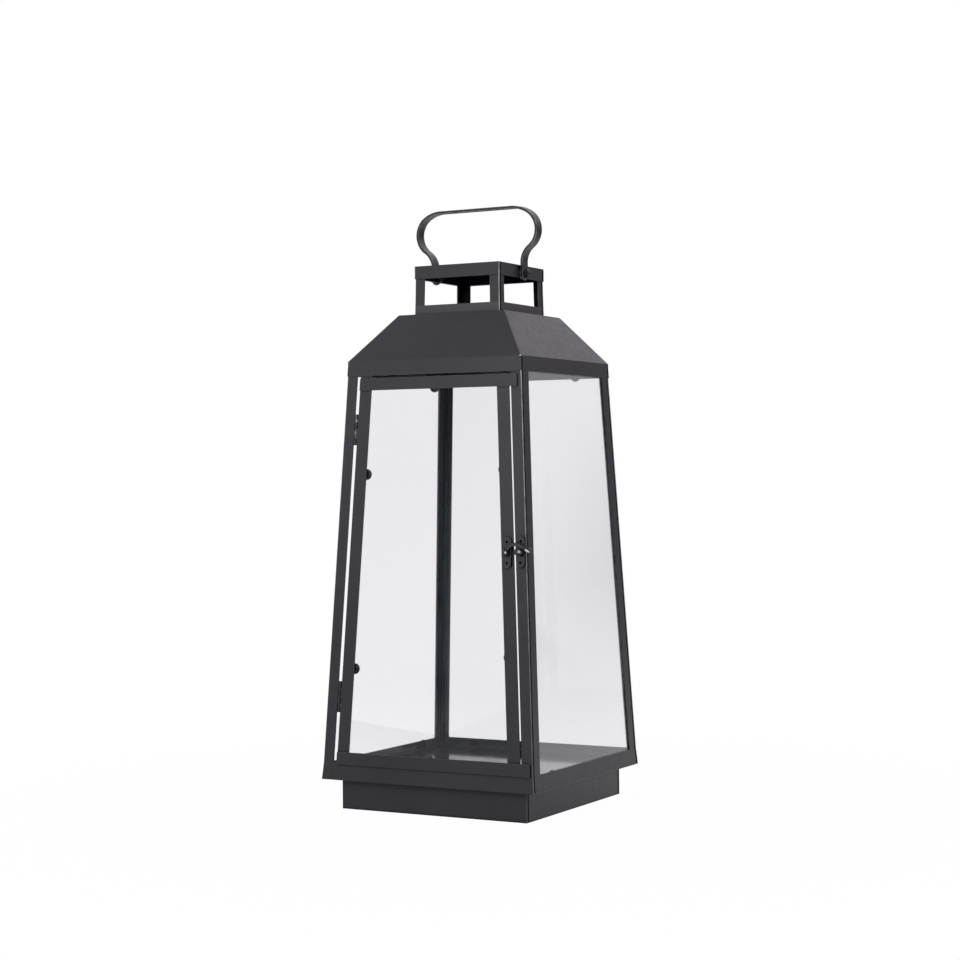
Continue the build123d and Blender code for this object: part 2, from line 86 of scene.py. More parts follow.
def maths(tree, operation, first, second=None):
    """One arithmetic step; each value is a number or a socket."""
    node = tree.nodes.new("ShaderNodeMath")
    node.operation = operation
    for socket, value in zip(node.inputs, (first, second)):
        if isinstance(value, (int, float)):
            socket.default_value = value
        elif value is not None:
            tree.links.new(value, socket)
    return node.outputs[0]


def parts_of(tree, vector):
    """The x, y and z of a vector."""
    node = tree.nodes.new("ShaderNodeSeparateXYZ")
    tree.links.new(vector, node.inputs[0])
    return node.outputs


def colour_mix(tree, factor, first, second):
    """First where factor is 0 and second where it is 1; each is a colour or a socket."""
    node = tree.nodes.new("ShaderNodeMix")
    node.data_type = "RGBA"
    tree.links.new(factor, node.inputs[0])
    for socket, value in ((node.inputs[6], first), (node.inputs[7], second)):
        if isinstance(value, tuple):
            socket.default_value = (*value, 1.0)
        else:
            tree.links.new(value, socket)
    return node.outputs[2]


def number_mix(tree, factor, first, second):
    """First where factor is 0 and second where it is 1; each is a number or a socket."""
    node = tree.nodes.new("ShaderNodeMix")
    tree.links.new(factor, node.inputs[0])
    for socket, value in ((node.inputs[2], first), (node.inputs[3], second)):
        if isinstance(value, (int, float)):
            socket.default_value = value
        else:
            tree.links.new(value, socket)
    return node.outputs[0]


def bump(tree, height, distance, strength, normal=None):
    """The normal of a surface with hills: distance is how high they are, strength how much of that shows."""
    node = tree.nodes.new("ShaderNodeBump")
    node.inputs["Distance"].default_value = distance
    node.inputs["Strength"].default_value = strength
    tree.links.new(height, node.inputs["Height"])
    if normal:
        tree.links.new(normal, node.inputs["Normal"])
    return node.outputs[0]


# Materials

# near-black of painted shade, for tight corners and inner faces
deep_shade = (0.004, 0.004, 0.0045)
cut_reach = 0.0011           # width of a sheet's cut end, from the corner line of the square stack
lit_side_reach = 0.0004           # width of the strip beside it, on the sheet's face, that shares the painted highlight
cap_face = 0.4574            # just below the cap's top, which has no cut ends
cut_highlight_rise = (0.08, 0.42)      # heights between which the painted highlight on the cut ends grows brighter
cut_gloss = 0.35
corner_shade_reach = 0.0025         # painted shade falls in a corner where another piece stands nearer than this
dust_gain = 1.5              # how much paler than the paint its dusty patches are
foot_gain = 1.75             # how much paler the paint is painted below foot, a painted highlight
foot_fade = 0.0006           # height over which that begins
paint_tint = (0.98, 0.95, 1.0, 1)
wave_height = 0.00008        # of a sheet that isn't quite flat
plate_wave_height = 0.00001  # of the floor plate
wave_strength = 0.3
peel_height = 0.00002        # of the orange peel in the paint
peel_strength = 0.08
edge_specular = 0.4
seam_specular = 0.05
reflection_start = (0.045, 0.06)  # heights between which the painted reflection on inner faces begins
reflection_end = (0.08, 0.33)     # heights between which it ends
lit_reach = (-0.02, 0.1)    # x less y where the painted light on the floor plate begins and where it is brightest
shade_foot = (0.11, 0.19)     # heights between which the painted shade on the right pane begins
shade_head = (0.28, 0.345)    # heights between which it fades again
shade_depth = (-0.09, 0.06)   # from the pane's near end to where the painted shade is deepest
glass_green = (0.55, 0.93, 0.86, 1)
green_density = 4.0
wire_lines = 0.03            # scale along the wire, which draws the noise out to lines


def paler(colour, gain):
    return tuple(value * gain for value in colour)


def cut_corner(tree, place):
    """1 on the cut ends of the front and back sheets, which show beside the corners, and 0 elsewhere; bare
    steel with a painted highlight, brighter higher up.
    """
    x, y, z = parts_of(tree, place)
    past = maths(tree, "SUBTRACT", maths(tree, "ABSOLUTE", x), maths(tree, "ABSOLUTE", y))
    near = maths(tree, "GREATER_THAN", past, -lit_side_reach)
    near = maths(tree, "MULTIPLY", near, maths(tree, "LESS_THAN", past, cut_reach))
    near = maths(tree, "MULTIPLY", near, maths(tree, "LESS_THAN", z, cap_face))
    brighter_up = spread(tree, z, 0.12, 1, *cut_highlight_rise)
    patches = spread(tree, noise(tree, place, 90, 4, 0.7), 0.3, 1, 0.35, 0.6)
    return maths(tree, "MULTIPLY", near, maths(tree, "MULTIPLY", brighter_up, patches))


def corner_shade(tree):
    """Painted shade: 1 in tight corners, where another piece stands close over the surface, and 0 in the
    open.
    """
    node = tree.nodes.new("ShaderNodeAmbientOcclusion")
    node.samples = 6
    node.inputs["Distance"].default_value = corner_shade_reach
    return spread(tree, node.outputs["AO"], 1, 0, 0.6, 0.97)


def painted_steel(name, dark, light, rough, specular, cut=None, foot=None):
    """Black powder coat: faint clouds of lighter grey, orange peel, and sheet that isn't quite flat.

    Painted shade darkens its tight corners. Where a colour for cut is given, the sheet's ends at the corners
    are painted in it, bare steel with a painted highlight. Below foot, where one is given, the paint is
    painted paler as a highlight."""
    material, tree, paint = shader(name)
    place = coordinates(tree)
    cloud = noise(tree, place, 9, 3)
    mottle = noise(tree, place, 160, 4, 0.65)
    peel = noise(tree, place, 1700, 2)
    body = colour_mix(tree, spread(tree, cloud, 0, 1), dark, light)
    body = colour_mix(tree, spread(tree, mottle, 0, 0.4, 0.58, 0.8), body, paler(light, dust_gain))
    if foot:
        # painted highlight below the foot
        lit_below = spread(tree, parts_of(tree, place)[2], 1, 0, foot - foot_fade, foot)
        body = colour_mix(tree, lit_below, body, paler(light, foot_gain))
    # painted shade in tight corners
    body = colour_mix(tree, corner_shade(tree), body, deep_shade)
    gloss = spread(tree, mottle, rough - 0.03, rough + 0.05)
    if cut:
        # bare steel with a painted highlight on the cut ends
        bare_or_lit = cut_corner(tree, place)
        body = colour_mix(tree, bare_or_lit, body, cut)
        gloss = number_mix(tree, bare_or_lit, gloss, cut_gloss)
    tree.links.new(body, paint.inputs["Base Color"])
    tree.links.new(gloss, paint.inputs["Roughness"])
    paint.inputs["Specular IOR Level"].default_value = specular
    paint.inputs["Specular Tint"].default_value = paint_tint
    sheet = bump(tree, noise(tree, place, 16, 1), wave_height, wave_strength)
    tree.links.new(bump(tree, peel, peel_height, peel_strength, sheet), paint.inputs["Normal"])
    return material


def worn_or_lit_edge(name, paint_colour, bare_or_lit_colour, cut=None):
    """Thin paint on an edge, rubbed through to paler grey in places; the paler grey is partly wear and
    partly a painted highlight.
    """
    material, tree, paint = shader(name)
    place = coordinates(tree)
    rub_or_lit = spread(tree, noise(tree, place, 120, 4, 0.7), 0, 1, 0.38, 0.62)
    body = colour_mix(tree, rub_or_lit, paint_colour, bare_or_lit_colour)
    if cut:
        body = colour_mix(tree, cut_corner(tree, place), body, cut)
    tree.links.new(body, paint.inputs["Base Color"])
    tree.links.new(spread(tree, rub_or_lit, 0.42, 0.3, 0, 1), paint.inputs["Roughness"])
    paint.inputs["Specular IOR Level"].default_value = edge_specular
    return material


def worn_steel_or_glint(name, paint_colour, bare_or_lit_colour, spot=None):
    """Paint worn through to bright steel all over, or a painted highlight in one spot on the front.

    A spot has the x and z of its middle, its half length and half height, how much it climbs along x,
    and the y that it ends at."""
    material, tree, steel = shader(name)
    place = coordinates(tree)
    if spot:
        middle_x, middle_z, half_length, half_height, climb, end_y = spot
        x, y, z = parts_of(tree, place)
        along = maths(tree, "SUBTRACT", x, middle_x)
        above = maths(tree, "SUBTRACT", z, middle_z)
        above = maths(tree, "SUBTRACT", above, maths(tree, "MULTIPLY", along, climb))
        along = maths(tree, "POWER", maths(tree, "DIVIDE", along, half_length), 2)
        above = maths(tree, "POWER", maths(tree, "DIVIDE", above, half_height), 2)
        bare_or_lit = spread(tree, maths(tree, "ADD", along, above), 1, 0, 0.4, 1.2)
        bare_or_lit = maths(tree, "MULTIPLY", bare_or_lit, maths(tree, "LESS_THAN", y, end_y))
    else:
        bare_or_lit = spread(tree, noise(tree, place, 260, 4, 0.65), 0.05, 1, 0.45, 0.62)
    tree.links.new(colour_mix(tree, bare_or_lit, paint_colour, bare_or_lit_colour), steel.inputs["Base Color"])
    tree.links.new(spread(tree, bare_or_lit, 0.32, 0.24, 0, 1), steel.inputs["Roughness"])
    return material


def light_and_shade_paint(name, dark, light, specular, reflection=None):
    """Dull paint with light or shade painted into its colour, for inner faces and the glass tabs.

    Where a colour for a painted reflection is given, the paint is turned to it, more and more towards the
    posts' foot."""
    material, tree, paint = shader(name)
    place = coordinates(tree)
    body = colour_mix(tree, spread(tree, noise(tree, place, 40, 4, 0.6), 0, 1), dark, light)
    if reflection:
        # painted reflection, stronger towards the foot
        z = parts_of(tree, place)[2]
        below_end = spread(tree, z, 1, 0, *reflection_end)
        above_start = spread(tree, z, 0, 1, *reflection_start)
        reflected = maths(tree, "MULTIPLY", below_end, above_start)
        body = colour_mix(tree, reflected, body, reflection)
    tree.links.new(body, paint.inputs["Base Color"])
    tree.links.new(spread(tree, noise(tree, place, 160, 3), 0.5, 0.62), paint.inputs["Roughness"])
    paint.inputs["Specular IOR Level"].default_value = specular
    return material


def lit_plate(name, dark, dust):
    """Half glossy black sheet, painted paler towards its near right corner in faint drifts: painted light.
    """
    material, tree, paint = shader(name)
    place = coordinates(tree)
    x, y, _ = parts_of(tree, place)
    drift = spread(tree, noise(tree, place, 30, 5, 0.65), -0.02, 0.02)
    across = maths(tree, "ADD", maths(tree, "SUBTRACT", x, y), drift)
    body = colour_mix(tree, spread(tree, across, 0, 1, *lit_reach), dark, dust)
    tree.links.new(body, paint.inputs["Base Color"])
    tree.links.new(spread(tree, noise(tree, place, 120, 4, 0.6), 0.09, 0.13), paint.inputs["Roughness"])
    waves = bump(tree, noise(tree, place, 16, 1), plate_wave_height, wave_strength)
    tree.links.new(waves, paint.inputs["Normal"])
    return material


def seam_shade(name, dark, fleck):
    """Painted shade for the bottom of an open seam and other places in shade: nearly black, with faint
    lighter flecks.
    """
    material, tree, shade_surface = shader(name)
    specks = noise(tree, coordinates(tree), 220, 4, 0.7)
    body = colour_mix(tree, spread(tree, specks, 0, 1), dark, fleck)
    tree.links.new(body, shade_surface.inputs["Base Color"])
    tree.links.new(spread(tree, specks, 0.75, 0.95), shade_surface.inputs["Roughness"])
    shade_surface.inputs["Specular IOR Level"].default_value = seam_specular
    return material


def window_glass(name, tone, index, shade_tone=None):
    """Clear float glass, green where it is looked through edgeways, with a breath of dust.

    Where a shade tone is given, painted shade turns the pane to it at mid height, more towards the back."""
    material, tree, glass = shader(name)
    place = coordinates(tree)
    film = noise(tree, place, 7, 5, 0.6)
    if shade_tone:
        _, y, z = parts_of(tree, place)
        above_foot = spread(tree, z, 0, 1, *shade_foot)
        below_head = spread(tree, z, 1, 0.2, *shade_head)
        shaded = maths(tree, "MULTIPLY", above_foot, below_head)
        shaded = maths(tree, "MULTIPLY", shaded, spread(tree, y, 0, 1, *shade_depth))
        tree.links.new(colour_mix(tree, shaded, tone, shade_tone), glass.inputs["Base Color"])
    else:
        glass.inputs["Base Color"].default_value = (*tone, 1)
    glass.inputs["Roughness"].default_value = 0.0
    glass.inputs["IOR"].default_value = index
    tree.links.new(spread(tree, film, 1.0, 0.997), glass.inputs["Transmission Weight"])
    tint = tree.nodes.new("ShaderNodeVolumeAbsorption")
    tint.inputs["Color"].default_value = glass_green
    tint.inputs["Density"].default_value = green_density
    tree.links.new(tint.outputs[0], tree.nodes["Material Output"].inputs["Volume"])
    return material


def drawn_wire(name, dark, light):
    """Dull steel wire with lines along its length."""
    material, tree, steel = shader(name)
    lines = noise(tree, stretched(tree, coordinates(tree), 1, 1, wire_lines), 2500, 3)
    tree.links.new(colour_mix(tree, lines, dark, light), steel.inputs["Base Color"])
    tree.links.new(spread(tree, lines, 0.3, 0.5), steel.inputs["Roughness"])
    steel.inputs["Metallic"].default_value = 1.0
    return material


sheet_dark, sheet_light = (0.0305, 0.0300, 0.0335), (0.0365, 0.0358, 0.040)
# inner faces are painted darker than the outside: painted shade
inner_dark, inner_light = (0.020, 0.0205, 0.0225), (0.026, 0.0265, 0.029)
# bluish paler paint inside the left and back walls: a painted reflection of the bright room
cool_dark, cool_light = (0.068, 0.1, 0.119), (0.084, 0.118, 0.14)
bright_reflection = (0.27, 0.325, 0.365)
# the glass tabs, which sit in shade, are painted paler: painted light
tab_dark, tab_light = (0.075, 0.075, 0.078), (0.095, 0.095, 0.099)
deep_shade_light = (0.011, 0.0115, 0.013)
# the paler floor tone is painted light, brightest at the plate's near right corner
floor_dark, floor_lit = (0.012, 0.0118, 0.013), (0.08, 0.0795, 0.0825)
# the strap's paler edge colour is partly worn paint, partly a painted highlight
strap_dark, strap_light, strap_bare_or_lit = (0.022, 0.0215, 0.0235), (0.03, 0.0295, 0.032), (0.3, 0.3, 0.305)
fitting_dark, fitting_light = (0.028, 0.0275, 0.029), (0.034, 0.0335, 0.0355)
# the fittings' paler edge colour is partly worn paint, partly a painted highlight
fitting_bare_or_lit, fitting_black = (0.2, 0.2, 0.205), (0.018, 0.018, 0.019)
# the sheets' paler edge colour is partly worn paint, partly a painted highlight
edge_dark, edge_light = (0.04, 0.039, 0.043), (0.10, 0.10, 0.105)
# near-black of painted shade, with faint lighter flecks, for seams, plate sides and rivet holes
seam_dark, seam_fleck = (0.002, 0.002, 0.0025), (0.008, 0.006, 0.005)
solder_dark, solder_light = (0.2, 0.2, 0.205), (0.5, 0.5, 0.51)
wire_dark, wire_light = (0.16, 0.16, 0.165), (0.36, 0.36, 0.37)
# the cut ends are bare steel with a painted highlight; the hips get a fainter painted highlight
cut_colour = (0.62, 0.62, 0.63)
hip_colour = (0.09, 0.09, 0.095)
# colour of the painted highlights on the latch
glint_colour = (0.6, 0.6, 0.61)
knuckle_bare = (0.4, 0.39, 0.42)
# the right pane's two darker tones are painted shade, the second at mid height
clear_tone, shaded_tone, deep_shaded_tone = (0.967, 0.957, 0.972), (0.885, 0.878, 0.89), (0.775, 0.77, 0.78)
glass_index = 1.5
dull_index = 1.3             # of the left pane, which mirrors less in the photo
sheet_rough = 0.37
sheet_specular = 0.27
chimney_sill = 0.4246        # height of the chimney windows' sills, below which the paint is painted paler as a highlight

# Painted highlights on the latch: one spot each on the pivot, peg and hook
pivot_spot = (0.0740, 0.2173, 0.0009, 0.0010, 0, 0)
peg_spot = (0.0875, 0.2182, 0.0009, 0.0012, 0, -0.0967)
hook_spot = (0.0930, 0.2188, 0.0026, 0.0009, -0.42, 0)


def sheet_pair(name, cut=None, foot=None):
    """The paint on a sheet's faces and on its edges."""
    face = painted_steel(name + "_paint", sheet_dark, sheet_light, sheet_rough, sheet_specular, cut, foot)
    return face, worn_or_lit_edge(name + "_edge", edge_dark, edge_light, cut)


sheet_paint, sheet_edge = sheet_pair("sheet")
end_pair = sheet_pair("end", cut=cut_colour)
hip_pair = sheet_pair("hip", cut=hip_colour)
chimney_pair = sheet_pair("chimney", foot=chimney_sill)
chimney_end_pair = sheet_pair("chimney_end", cut=cut_colour, foot=chimney_sill)
floor_paint = lit_plate("floor_paint", floor_dark, floor_lit)
strap_paint = painted_steel("strap_paint", strap_dark, strap_light, rough=0.36, specular=0.3)
strap_edge = worn_or_lit_edge("strap_edge", edge_dark, strap_bare_or_lit)
fitting_paint = painted_steel("fitting_paint", fitting_dark, fitting_light, rough=0.28, specular=0.5)
fitting_edge = worn_or_lit_edge("fitting_edge", edge_dark, fitting_bare_or_lit)
pivot_steel = worn_steel_or_glint("pivot_steel", fitting_black, glint_colour, pivot_spot)
peg_steel = worn_steel_or_glint("peg_steel", fitting_black, glint_colour, peg_spot)
hook_steel = worn_steel_or_glint("hook_steel", fitting_black, glint_colour, hook_spot)
knuckle_steel = worn_steel_or_glint("knuckle_steel", sheet_dark, knuckle_bare)
inside_shade_paint = light_and_shade_paint("inside_shade_paint", inner_dark, inner_light, specular=0.04)
tab_lit_paint = light_and_shade_paint("tab_lit_paint", tab_dark, tab_light, specular=0.25)
cool_reflection_paint = light_and_shade_paint("cool_reflection_paint", cool_dark, cool_light, specular=0.2)
bright_reflection_paint = light_and_shade_paint("bright_reflection_paint", cool_dark, cool_light, specular=0.2, reflection=bright_reflection)
# the insides of the roof, chimney and plinth: deep painted shade
deep_shade_paint = light_and_shade_paint("deep_shade_paint", deep_shade, deep_shade_light, specular=0.04)
pane_glass = window_glass("pane_glass", clear_tone, glass_index)
shaded_glass = window_glass("shaded_glass", shaded_tone, glass_index, deep_shaded_tone)
dull_glass = window_glass("dull_glass", clear_tone, dull_index)
pin_wire = drawn_wire("pin_wire", wire_dark, wire_light)
painted_shade_black = seam_shade("painted_shade_black", seam_dark, seam_fleck)
solder = worn_or_lit_edge("solder", solder_dark, solder_light)

slot_materials = {
    "black_sheet": (sheet_paint, sheet_edge),
    "black_floor": (floor_paint, sheet_edge),
    "black_handle": (strap_paint, strap_edge),
    "black_hardware": (fitting_paint, fitting_edge),
    "pin_steel": (pin_wire, pin_wire),
    "clear_glass": (pane_glass, pane_glass),
}
cut_pairs = {"wall_frame": end_pair, "roof_panel": hip_pair, "plinth": end_pair}
node_materials = {
    "chimney_cap": end_pair,
    "chimney_frame_front": chimney_end_pair,
    "chimney_frame_back": chimney_end_pair,
    "chimney_frame_left": chimney_pair,
    "chimney_frame_right": chimney_pair,
    "glass_right": (shaded_glass, shaded_glass),
    "glass_left": (dull_glass, dull_glass),
    "latch_pivot": (pivot_steel, pivot_steel),
    "latch_peg": (peg_steel, peg_steel),
    "latch_hook": (hook_steel, hook_steel),
    "fixed_glass_tabs": (tab_lit_paint, tab_lit_paint),
    "door_glass_tabs": (tab_lit_paint, tab_lit_paint),
    "latch_plate": (sheet_paint, fitting_edge),
    "strike_plate": (sheet_paint, fitting_edge),
    # the rivets sunk in the plates' holes are painted black: painted shade in the holes
    "latch_plate_rivets": (painted_shade_black, painted_shade_black),
    "strike_plate_rivets": (painted_shade_black, painted_shade_black),
    "upper_hinge_door_leaf": (knuckle_steel, fitting_edge),
}
inner_light_and_shade = {             # painted shade or painted reflection on inner faces, by node, or by the first word of a node's name
    "wall_frame_back": bright_reflection_paint,
    "wall_frame_left": cool_reflection_paint,
    "chimney": deep_shade_paint,
    "roof": deep_shade_paint,
    "plinth": deep_shade_paint,
}


# The CAD pieces: their materials, and small bevels that catch the light on every sheet edge

bevel_widths = {
    "black_sheet": 0.00025,
    "black_floor": 0.0002,
    "black_handle": 0.0004,
    "black_hardware": 0.0002,
}
edge_limit = math.radians(60)      # edges are sharper than this
fold_limit = math.radians(33)      # bends in one sheet are blunter than edges and sharper than this
flat_limit = math.radians(0.5)     # faces that meet at less than this are one flat face
fold_width = 0.0008
weld_gap = 0.00001
outer_slot, edge_slot, inner_slot = 0, 1, 2
turned = 0.5                       # a face lies on the edge when its normal is across the sheet by less
inwards = -0.001                   # the lean, in metres, below which a face looks towards the middle
downwards = -0.7                   # the z of a normal below which a face is an underside


def paints(node, slot):
    """A node's paints; front and back sheets have cut ends that show at the corners of the square stack."""
    kind, _, side = node.rpartition("_")
    if node in node_materials:
        return node_materials[node]
    if kind in cut_pairs and side in ("front", "back"):
        return cut_pairs[kind]
    return slot_materials[slot]


def sheet_side(node, face):
    """The slot of a sheet's face by the way it looks; a frame's cut edges lie along the sheet."""
    kind, _, side = node.rpartition("_")
    lean = Vector((face.normal.x * face.center.x, face.normal.y * face.center.y))
    if kind in ("wall_frame", "chimney_frame"):
        across = lean.x / abs(face.center.x) if side in ("left", "right") else lean.y / abs(face.center.y)
        if abs(across) < turned:
            return edge_slot
        return inner_slot if across < 0 else outer_slot
    return inner_slot if lean.x + lean.y < inwards or face.normal.z < downwards else outer_slot


def plate_side(face):
    """The slot of a latch plate's face: its sides and back count as inner faces."""
    return inner_slot if face.normal.y > -turned else outer_slot


def bevel_edges(piece, name, width, segments, limit):
    bevel = piece.modifiers.new(name, "BEVEL")
    bevel.width = width
    bevel.segments = segments
    bevel.limit_method = "ANGLE"
    bevel.angle_limit = limit
    return bevel


def dress(node, slot):
    piece = nodes[node]
    piece.data.materials.clear()
    for paint in paints(node, slot):
        piece.data.materials.append(paint)
    if slot == "black_sheet":
        first_word = node.split("_")[0]
        # inner faces take painted shade or a painted reflection
        piece.data.materials.append(inner_light_and_shade.get(node) or inner_light_and_shade.get(first_word, inside_shade_paint))
        for face in piece.data.polygons:
            face.material_index = sheet_side(node, face)
    elif node in ("latch_plate", "strike_plate"):
        # the plates' sides and backs are painted black: painted shade at their outlines
        piece.data.materials.append(painted_shade_black)
        for face in piece.data.polygons:
            face.material_index = plate_side(face)
    if slot in bevel_widths:
        weld = piece.modifiers.new("weld", "WELD")
        weld.merge_threshold = weld_gap
        flat = piece.modifiers.new("flat", "DECIMATE")
        flat.decimate_type = "DISSOLVE"
        flat.angle_limit = flat_limit
        bevel = bevel_edges(piece, "bevel", bevel_widths[slot], segments=3, limit=edge_limit)
        bevel.material = edge_slot
        if node.startswith("roof_panel"):
            bevel_edges(piece, "fold", fold_width, segments=2, limit=fold_limit)
        piece.modifiers.new("normals", "WEIGHTED_NORMAL")


for subpart in frame["record"]["subparts"]:
    dress(subpart["node"], subpart["material_slot"])


# Strips of painted shade at the bottoms of the open seams, in the grooves beside the corners of the left and
# right walls

seam_width = 0.0024
seam_bottom = 0.5            # depth of the groove below the wall's face, in thicknesses of the sheet
seam_top = 0.36              # depth of the strip's top in the groove, in the same way
seam_ease = 0.00004          # kept free on each side of the groove

# For each stretch of the stack: half width and height at its ends, and the thickness of its sheet
seam_stretches = (
    ((0.0875, 0.0005), (0.0875, 0.0296), 0.0010),
    ((0.1000, 0.0259), (0.0987, 0.0395), 0.0010),
    ((0.0987, 0.0395), (0.0823, 0.3635), 0.0010),
    ((0.08275, 0.3639), (0.08213, 0.3758), 0.0004),
    ((0.0408, 0.4160), (0.0402, 0.4465), 0.0010),
    ((0.0408, 0.4469), (0.0408, 0.4566), 0.0005),
)


def seam_strip(low, high, sheet, side, end):
    """Corners and faces of one thin strip along a seam, on the wall at x = side and near its end in y."""
    corners = []
    for half, z in (low, high):
        near = half - sheet - seam_ease
        far = half - sheet - seam_width + seam_ease
        for share in (seam_bottom, seam_top):
            face = side * (half - share * sheet)
            corners += [(face, end * near, z), (face, end * far, z)]
    faces = [(0, 1, 3, 2), (4, 6, 7, 5), (0, 2, 6, 4), (1, 5, 7, 3), (2, 3, 7, 6), (0, 4, 5, 1)]
    if side * end > 0:
        faces = [tuple(reversed(face)) for face in faces]
    return corners, faces


def make_seam_shade():
    points, faces = [], []
    for low, high, sheet in seam_stretches:
        for side in (-1, 1):
            for end in (-1, 1):
                corners, sides = seam_strip(low, high, sheet, side, end)
                faces += [tuple(index + len(points) for index in face) for face in sides]
                points += corners
    mesh = bpy.data.meshes.new("corner_seam_shade")
    mesh.from_pydata(points, [], faces)
    mesh.materials.append(painted_shade_black)
    seams = bpy.data.objects.new("corner_seam_shade", mesh)
    scene.collection.objects.link(seams)
    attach(seams, "frame")


make_seam_shade()


# Beads of solder: at the top corners of the fascia, at the chimney's foot and where the seams end below

bead_places = (               # distance from the middle along X and Y, height and radius
    (0.0817, 0.0822, 0.3757, 0.0008),
    (0.0407, 0.0409, 0.4163, 0.0007),
    (0.0992, 0.0974, 0.0264, 0.0007),
)
bead_height = 0.8             # of a bead, as a share of its width
bead_lumps = 0.35             # how uneven it is, as a share of its radius


def make_beads():
    beads = bmesh.new()
    for x, y, z, radius in bead_places:
        for side in (-1, 1):
            for end in (-1, 1):
                centre = Vector((side * x, end * y, z))
                place = Matrix.Translation(centre) @ Matrix.Diagonal((1, 1, bead_height, 1))
                made = bmesh.ops.create_icosphere(beads, subdivisions=3, radius=radius, matrix=place)
                for point in made["verts"]:
                    point.co += (point.co - centre) * bead_lumps * noise_value(point.co / radius)
    mesh = bpy.data.meshes.new("solder_beads")
    beads.to_mesh(mesh)
    beads.free()
    mesh.shade_smooth()
    mesh.materials.append(solder)
    holder = bpy.data.objects.new("solder_beads", mesh)
    scene.collection.objects.link(holder)
    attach(holder, "frame")


make_beads()


# Floor and world: white to the eye and through the glass, with a soft shadow under the lantern

none_yet = 0.5                     # a ray's count of bounces is below this when it has had none
reflected_share = 0.7              # of the background that shows through glass after a reflection
card_x, card_y = 0.44, 0.898       # the direction in which the card stands
card_sides = (0.035, 0.06)         # how far aside of that the card begins to fade, and ends


def not_yet(tree, count):
    """1 for rays that have had no bounce of the kind that is counted."""
    return maths(tree, "LESS_THAN", count, none_yet)


def shown(tree, y):
    """1 for rays that show the background itself: straight to the camera or through glass.

    A ray that was reflected on its way shows it behind the lantern only; the door's side is dark."""
    path = tree.nodes.new("ShaderNodeLightPath").outputs
    direct = maths(tree, "MAXIMUM", path["Is Camera Ray"], path["Is Transmission Ray"])
    direct = maths(tree, "MULTIPLY", direct, not_yet(tree, path["Diffuse Depth"]))
    behind = maths(tree, "GREATER_THAN", y, 0)
    behind = maths(tree, "MULTIPLY", behind, reflected_share)
    seen = maths(tree, "MAXIMUM", behind, not_yet(tree, path["Glossy Depth"]))
    return maths(tree, "MULTIPLY", direct, seen)


def mirrored(tree):
    """1 for rays that show the background in a reflection; light that paint scatters isn't counted."""
    path = tree.nodes.new("ShaderNodeLightPath").outputs
    return maths(tree, "MULTIPLY", path["Is Glossy Ray"], not_yet(tree, path["Diffuse Depth"]))


def towards_card(tree, x, y):
    """1 in the direction in which the card stands and 0 elsewhere, for the x and y of a direction."""
    aside = maths(tree, "SUBTRACT", maths(tree, "MULTIPLY", x, card_y), maths(tree, "MULTIPLY", y, card_x))
    return spread(tree, maths(tree, "ABSOLUTE", aside), 1, 0, *card_sides)


floor_half = 6.0
floor_grey = (0.86, 0.86, 0.86, 1)
floor_rough = 0.9
shadow_reach = (0.15, 0.6)         # distances from the middle between which the soft shadow ends
shadow_white = 0.98                # share of plain white that shows within the shadow
mirror_white = 0.9                 # share of the floor in reflections that is its own light
mirror_dim = (0.3, 2.0)            # distances between which the floor in reflections gets dimmer
mirror_back = (-0.1, 0.25)         # y between which it gets brighter again
mirror_far = (2.0, 5.5)            # distances between which it is lost in the dark of the studio


def make_floor():
    half = floor_half
    mesh = bpy.data.meshes.new("floor")
    corners = [(-half, -half, 0), (half, -half, 0), (half, half, 0), (-half, half, 0)]
    mesh.from_pydata(corners, [], [(0, 1, 2, 3)])
    floor = bpy.data.objects.new("floor", mesh)
    scene.collection.objects.link(floor)
    material, tree, matte = shader("pale_floor")
    matte.inputs["Base Color"].default_value = floor_grey
    matte.inputs["Roughness"].default_value = floor_rough
    length = tree.nodes.new("ShaderNodeVectorMath")
    length.operation = "LENGTH"
    tree.links.new(coordinates(tree), length.inputs[0])
    distance = length.outputs["Value"]
    x, y, _ = parts_of(tree, coordinates(tree))
    clear = shown(tree, y)
    share = maths(tree, "MULTIPLY", clear, spread(tree, distance, shadow_white, 1, *shadow_reach))
    share = maths(tree, "MAXIMUM", share, maths(tree, "MULTIPLY", mirrored(tree), mirror_white))
    white = tree.nodes.new("ShaderNodeEmission")
    dimmed = spread(tree, distance, 0.95, 0.5, *mirror_dim)
    dimmed = maths(tree, "MULTIPLY", dimmed, spread(tree, y, 0.6, 1.3, *mirror_back))
    before_card = towards_card(tree, maths(tree, "DIVIDE", x, distance), maths(tree, "DIVIDE", y, distance))
    before_card = maths(tree, "MULTIPLY", before_card, maths(tree, "GREATER_THAN", y, 0))
    far = maths(tree, "MAXIMUM", spread(tree, distance, 1, 0.12, *mirror_far), before_card)
    dimmed = maths(tree, "MULTIPLY", dimmed, far)
    strength = number_mix(tree, mirrored(tree), 1.0, dimmed)
    tree.links.new(number_mix(tree, clear, strength, 1.0), white.inputs["Strength"])
    blend = tree.nodes.new("ShaderNodeMixShader")
    tree.links.new(share, blend.inputs[0])
    tree.links.new(matte.outputs[0], blend.inputs[1])
    tree.links.new(white.outputs[0], blend.inputs[2])
    tree.links.new(blend.outputs[0], tree.nodes["Material Output"].inputs["Surface"])
    mesh.materials.append(material)


fill_light = 0.6
fill_tint = (1, 0.965, 1.035)
studio_rise = (0.1, 0.5)           # z of a direction, from the dim horizon to the bright ceiling
studio_depth = (-0.5, 0.4)         # y of a direction, from the door's side to the back
card_foot = (0, 0.05)              # z of a direction, from the card's dim foot upwards


